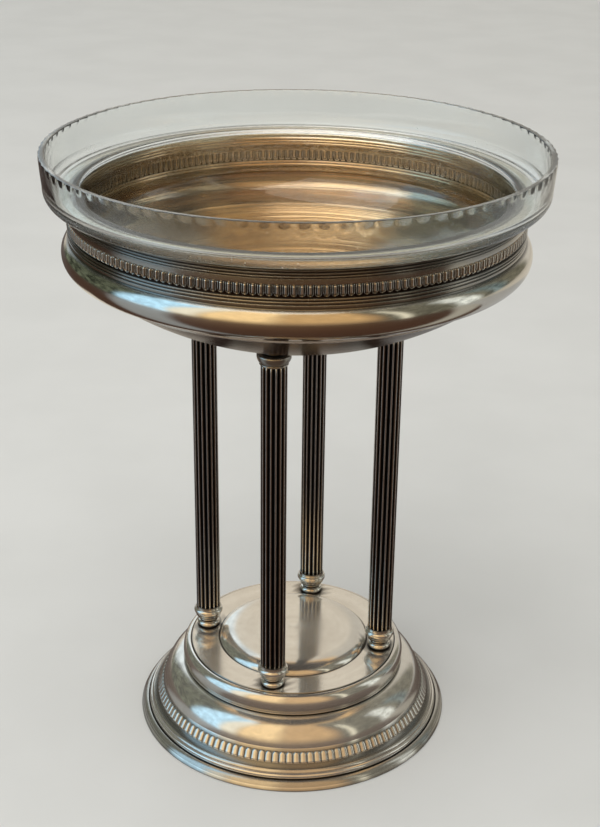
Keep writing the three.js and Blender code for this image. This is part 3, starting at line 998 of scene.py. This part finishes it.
def clear_glass(name):
    """Clear glass with a faint green cast; light passes through it to what is inside."""
    material, tree, shader = new_material(name)
    shader.inputs["Base Color"].default_value = (0.955, 0.98, 0.965, 1)
    shader.inputs["Metallic"].default_value = 0.0
    shader.inputs["Transmission Weight"].default_value = 1.0
    shader.inputs["IOR"].default_value = 1.5
    place = object_place(tree)
    film = ramp(tree, noise(tree, place, 22.0, 5.0, 0.6), 0.5, 0.75, 0.0, 0.05)
    specks = ramp(tree, noise(tree, place, 420.0, 2.0, 0.5), 0.69, 0.76, 0.0, 0.15)
    rough = total(tree, film, specks, clamp=True)
    rough = total(tree, rough, product(tree, held(tree, "tarnish"), 0.4), clamp=True)
    waves = math_node(tree, "MULTIPLY_ADD", specks, 0.35, noise(tree, place, 18.0, 2.0, 0.4))
    bump = add_node(tree, "ShaderNodeBump", {"Strength": 0.25, "Distance": 0.0012, "Height": waves})
    tree.links.new(rough, shader.inputs["Roughness"])
    tree.links.new(bump.outputs[0], shader.inputs["Normal"])
    through = add_node(tree, "ShaderNodeBsdfTransparent", {0: (0.93, 0.96, 0.94, 1)}).outputs[0]
    shadow = tree.nodes.new("ShaderNodeLightPath").outputs["Is Shadow Ray"]
    mixed = add_node(tree, "ShaderNodeMixShader", {0: shadow, 1: shader.outputs[0], 2: through})
    output = next(n for n in tree.nodes if n.type == "OUTPUT_MATERIAL")
    tree.links.new(mixed.outputs[0], output.inputs[0])
    return material


SATIN_SILVER = SilverLook(
    plate=(0.88, 0.83, 0.75, 1), film=(0.36, 0.29, 0.22, 1), recess=(0.035, 0.03, 0.024, 1),
    roughness=0.10, under=0.6, clouds=0.14, metal=0.87, brushed=0.9,
)
# Its dark brown film, with the high under share, is painted shade on the bowl's underside, with some tarnish.
BRIGHT_SILVER = SilverLook(
    plate=(0.90, 0.85, 0.76, 1), film=(0.17, 0.10, 0.07, 1), recess=(0.022, 0.015, 0.012, 1),
    roughness=0.10, under=0.85, clouds=0.06, brushed=0.94,
)
# The near-black recess colour paints shade into the flute channels, on top of their tarnish.
COLUMN_SILVER = SilverLook(
    plate=(0.88, 0.86, 0.83, 1), film=(0.42, 0.39, 0.36, 1), recess=(0.007, 0.006, 0.006, 1),
    roughness=0.16, under=0.2, clouds=0.2, brushed=0.0,
)
COLLAR_SILVER = replace(BRIGHT_SILVER, roughness=0.16, clouds=0.1, metal=0.94, brushed=0.2)
STEEL = SilverLook(
    plate=(0.46, 0.46, 0.45, 1), film=(0.2, 0.19, 0.17, 1), recess=(0.04, 0.035, 0.03, 1),
    roughness=0.38, under=0.3, clouds=0.4,
)


# Stage, light and camera: in metres and degrees, with azimuths from the camera's side, positive to its right

CAMERA_TURN = 12.3
CAMERA_DISTANCE = 0.7938
CAMERA_HEIGHT = 0.5659
CAMERA_PITCH = 24.75
CAMERA_YAW = 0.20
CAMERA_ROLL = 0.70
CAMERA_LENS = 64.72
LIGHT_AIM = Vector((0, 0, 0.19))
LIGHT_AZIMUTH, LIGHT_ELEVATION, LIGHT_DISTANCE = -35, 60, 2.6
LIGHT_SIZE = 2.6
LIGHT_GLOW = 1.6
LIGHT_COLOUR = (1.0, 0.995, 0.985)


def direction(azimuth, elevation):
    """Unit vector from the object's axis towards an azimuth and elevation."""
    turn = math.radians(CAMERA_TURN + azimuth)
    rise = math.radians(elevation)
    return Vector((math.sin(turn) * math.cos(rise), -math.cos(turn) * math.cos(rise), math.sin(rise)))


def make_camera():
    data = bpy.data.cameras.new("camera")
    data.lens = CAMERA_LENS
    camera = bpy.data.objects.new("camera", data)
    place = direction(0, 0) * CAMERA_DISTANCE
    turn = Matrix.Rotation(math.radians(CAMERA_TURN - CAMERA_YAW), 4, "Z")
    tilt = Matrix.Rotation(math.radians(90 - CAMERA_PITCH), 4, "X")
    roll = Matrix.Rotation(math.radians(CAMERA_ROLL), 4, "Z")
    camera.matrix_world = Matrix.Translation((place.x, place.y, CAMERA_HEIGHT)) @ turn @ tilt @ roll
    bpy.context.scene.collection.objects.link(camera)
    bpy.context.scene.camera = camera


def make_light():
    """A large soft light that brightens the floor and gives it its shadow; the metal doesn't mirror it."""
    data = bpy.data.lights.new("floor_light", "AREA")
    data.shape = "RECTANGLE"
    data.size, data.size_y = LIGHT_SIZE, LIGHT_SIZE
    data.energy = LIGHT_GLOW * math.pi * LIGHT_SIZE * LIGHT_SIZE
    data.color = LIGHT_COLOUR
    light = bpy.data.objects.new("floor_light", data)
    way = direction(LIGHT_AZIMUTH, LIGHT_ELEVATION)
    light.location = LIGHT_AIM + way * LIGHT_DISTANCE
    light.rotation_euler = way.to_track_quat("Z", "Y").to_euler()
    light.visible_glossy = False
    bpy.context.scene.collection.objects.link(light)


@dataclass
class Panel:
    """A soft-edged part of the surroundings, between azimuths left and right and elevations low and high.

    mottled is how far its brightness varies, and soft and low_soft are the widths of its edges in degrees.
    """
    left: float
    right: float
    low: float
    high: float
    colour: tuple
    soft: float = 5.0
    mottled: float = 0.0
    low_soft: float = 5.0


BACKDROP, BACKDROP_SHADED = (0.74, 0.69, 0.60), (0.42, 0.43, 0.44)
BACKDROP_WAY, BACKDROP_PLACE, BACKDROP_END = 167.5, 0.173, -0.45
OVERHEAD, OVERHEAD_SHADE = (0.88, 0.57, 0.25), (0.26, 0.18, 0.10)
UNDERFOOT = (0.06, 0.03, 0.018)
PALE_SURROUNDINGS = (0.72, 0.72, 0.70)
SURROUNDINGS = {
    "dim_front": Panel(-60, 60, -30, 95, (0.19, 0.13, 0.08), 8),
    "mottled_left": Panel(-150, -84, -30, 95, (0.085, 0.10, 0.07), 6, 0.9),
    "grey_back": Panel(130, 172, -30, 95, (0.56, 0.54, 0.49), 8),
    "dim_right": Panel(42, 140, -30, 95, (0.15, 0.145, 0.11), 5, 0.4),
    "warm_right": Panel(-10, 38, 8, 95, (0.66, 0.43, 0.2), 8, 0.12, 16),
    "warm_left": Panel(-48, -10, 6, 95, (1.12, 0.82, 0.43), 8, 0.12, 16),
    "cool_back": Panel(-170, -144, 8, 68, (0.86, 1.0, 1.1), 5, 0.3),
    "cool_left": Panel(-92, -60, -3, 76, (0.58, 0.97, 1.3), 4, 0.3),
    "pale_left": Panel(-62, -47, 2, 66, (1.0, 0.97, 0.82), 5, 0, 8),
    "bright_slit": Panel(49, 54, -4, 55, (0.95, 0.92, 0.75), 3),
    "pale_right": Panel(80, 94, -6, 46, (0.80, 0.86, 0.84), 4, 0.45),
    "mottled_right": Panel(103, 115, -6, 42, (0.14, 0.19, 0.20), 5, 0.8),
}

# Gleams that the metal mirrors in the floor: azimuth, cosines of the angles to edge and full glow, and colour
FLOOR_GLEAMS = (
    (-76, 0.92, 0.985, (0.27, 0.29, 0.31)),
    (84, 0.975, 0.997, (0.42, 0.41, 0.37)),
)
FLOOR_REACH = 4.0
FLOOR_TONES = ((0.68, 0.68, 0.66, 1), (0.71, 0.71, 0.69, 1))
FLOOR_IN_METAL = (0.058, 0.022, 0.010)
GLASS_PALENESS = 0.4
MANY_BOUNCES = 100


def degrees_node(tree, operation, *values):
    return product(tree, math_node(tree, operation, *values), 180 / math.pi)


def along(tree, vector, azimuth):
    """How far a vector reaches towards an azimuth."""
    values = {0: vector, 1: tuple(direction(azimuth, 0))}
    return add_node(tree, "ShaderNodeVectorMath", values, operation="DOT_PRODUCT").outputs["Value"]


def seen_in_metal(tree):
    """1 for rays that a surface has mirrored, also when glass lies on their way, and 0 for all others.

    Rays mirrored within the glass's own edges pass two of its faces, and also see some pale surroundings.
    """
    path = tree.nodes.new("ShaderNodeLightPath").outputs
    scattered = product(tree, path["Is Diffuse Ray"], MANY_BOUNCES)
    mirrored = math_node(tree, "SUBTRACT", path["Glossy Depth"], scattered, clamp=True)
    edge_of_glass = math_node(tree, "COMPARE", path["Transmission Depth"], 2, 0.5)
    return product(tree, mirrored, math_node(tree, "MULTIPLY_ADD", edge_of_glass, -GLASS_PALENESS, 1.0))


def panel_mask(tree, panel, azimuth, elevation):
    """1 within a panel and 0 outside it. A softness below 0 turns an edge round, as the lowest edge needs."""
    mask = ramp(tree, azimuth, panel.left - panel.soft, panel.left + panel.soft)
    edges = (
        (azimuth, panel.right, panel.soft),
        (elevation, panel.low, -panel.low_soft),
        (elevation, panel.high, panel.soft),
    )
    for value, edge, soft in edges:
        mask = product(tree, mask, ramp(tree, value, edge + soft, edge - soft))
    return mask


def make_room():
    """What the metal mirrors: soft panels all round, dim or bright, cool or warm, before a pale backdrop."""
    world = bpy.data.worlds.new("room")
    world.use_nodes = True
    bpy.context.scene.world = world
    tree = world.node_tree
    tree.nodes.clear()
    way = tree.nodes.new("ShaderNodeTexCoord").outputs["Generated"]
    rise = add_node(tree, "ShaderNodeSeparateXYZ", {0: way}).outputs[2]
    front = along(tree, way, 0)
    azimuth = degrees_node(tree, "ARCTAN2", along(tree, way, 90), front)
    elevation = degrees_node(tree, "ARCSINE", rise)
    mottling = ramp(tree, noise(tree, way, 11.0, 5.0, 0.75), 0.40, 0.62)
    colour = (*BACKDROP, 1)
    for panel in SURROUNDINGS.values():
        tone = (*panel.colour, 1)
        if panel.mottled:
            dark = tuple(c * (1 - panel.mottled) for c in panel.colour)
            light = tuple(c * (1 + panel.mottled * 1.3) for c in panel.colour)
            tone = mix_colour(tree, mottling, (*dark, 1), (*light, 1))
        colour = mix_colour(tree, panel_mask(tree, panel, azimuth, elevation), colour, tone)
    above = math_node(tree, "SUBTRACT", rise, product(tree, front, 0.2))
    patches = ramp(tree, noise(tree, way, 3.2, 3.0, 0.5), 0.38, 0.6)
    overhead = mix_colour(tree, patches, (*OVERHEAD_SHADE, 1), (*OVERHEAD, 1))
    colour = mix_colour(tree, ramp(tree, above, 0.89, 0.94), colour, overhead)
    colour = mix_colour(tree, ramp(tree, elevation, -8, -16), colour, (*UNDERFOOT, 1))
    seen = mix_colour(tree, seen_in_metal(tree), (*PALE_SURROUNDINGS, 1), colour)
    background = add_node(tree, "ShaderNodeBackground", {"Color": seen, "Strength": 1.0})
    output = tree.nodes.new("ShaderNodeOutputWorld")
    tree.links.new(background.outputs[0], output.inputs[0])


def floor_in_metal(tree):
    """The floor as the metal mirrors it: dark and warm, gleaming to both sides, and a backdrop behind it."""
    place = object_place(tree)
    spot = add_node(tree, "ShaderNodeVectorMath", {0: place}, operation="NORMALIZE").outputs[0]
    colour = (*FLOOR_IN_METAL, 1)
    for azimuth, edge, middle, glow in FLOOR_GLEAMS:
        gleam = ramp(tree, along(tree, spot, azimuth), edge, middle)
        colour = mix_colour(tree, gleam, colour, (*glow, 1))
    back, right = (along(tree, place, azimuth) for azimuth in (BACKDROP_WAY, BACKDROP_WAY - 90))
    beyond = ramp(tree, back, BACKDROP_PLACE, BACKDROP_PLACE + 0.015)
    beyond = product(tree, beyond, ramp(tree, right, BACKDROP_END - 0.05, BACKDROP_END + 0.05))
    shaded = product(tree, ramp(tree, right, -0.08, 0.12), ramp(tree, back, 0.8, 0.6, 0.2))
    backdrop = mix_colour(tree, shaded, (*BACKDROP, 1), (*BACKDROP_SHADED, 1))
    return mix_colour(tree, beyond, colour, backdrop)


def make_floor():
    """A plain pale floor, which the polished metal mirrors darker and warmer."""
    corners = [(x * FLOOR_REACH, y * FLOOR_REACH, 0) for x, y in ((-1, -1), (1, -1), (1, 1), (-1, 1))]
    mesh = bpy.data.meshes.new("floor")
    mesh.from_pydata(corners, [], [(0, 1, 2, 3)])
    floor = bpy.data.objects.new("floor", mesh)
    bpy.context.scene.collection.objects.link(floor)
    material, tree, shader = new_material("pale_floor")
    tone = ramp(tree, noise(tree, object_place(tree), 9.0, 4.0), 0.3, 0.7)
    pale = mix_colour(tree, tone, *FLOOR_TONES)
    colour = mix_colour(tree, seen_in_metal(tree), pale, floor_in_metal(tree))
    tree.links.new(colour, shader.inputs["Base Color"])
    shader.inputs["Roughness"].default_value = 0.6
    mesh.materials.append(material)


def set_tones():
    view = bpy.context.scene.view_settings
    view.view_transform = "Standard"
    view.look = "None"
    view.exposure = 0.0


# Assembly

def build():
    base_finish = silver("satin_silver", SATIN_SILVER)
    bright_finish = silver("bright_silver", BRIGHT_SILVER)
    column_finish = silver("dark_silver", COLUMN_SILVER)
    collar_finish = silver("collar_silver", COLLAR_SILVER)
    steel_finish = silver("fastener_steel", STEEL)
    make_base(base_finish)
    make_bowl(bright_finish)
    make_liner(clear_glass("clear_glass"))
    for number in range(1, len(COLUMN_ANGLES) + 1):
        make_foot(number, collar_finish)
        make_shaft(number, column_finish)
        make_capital(number, collar_finish)
        make_rod(number, steel_finish)
        make_washer(number, steel_finish)
        make_nut(number, steel_finish)
    make_room()
    make_floor()
    make_light()
    make_camera()
    set_tones()


build()
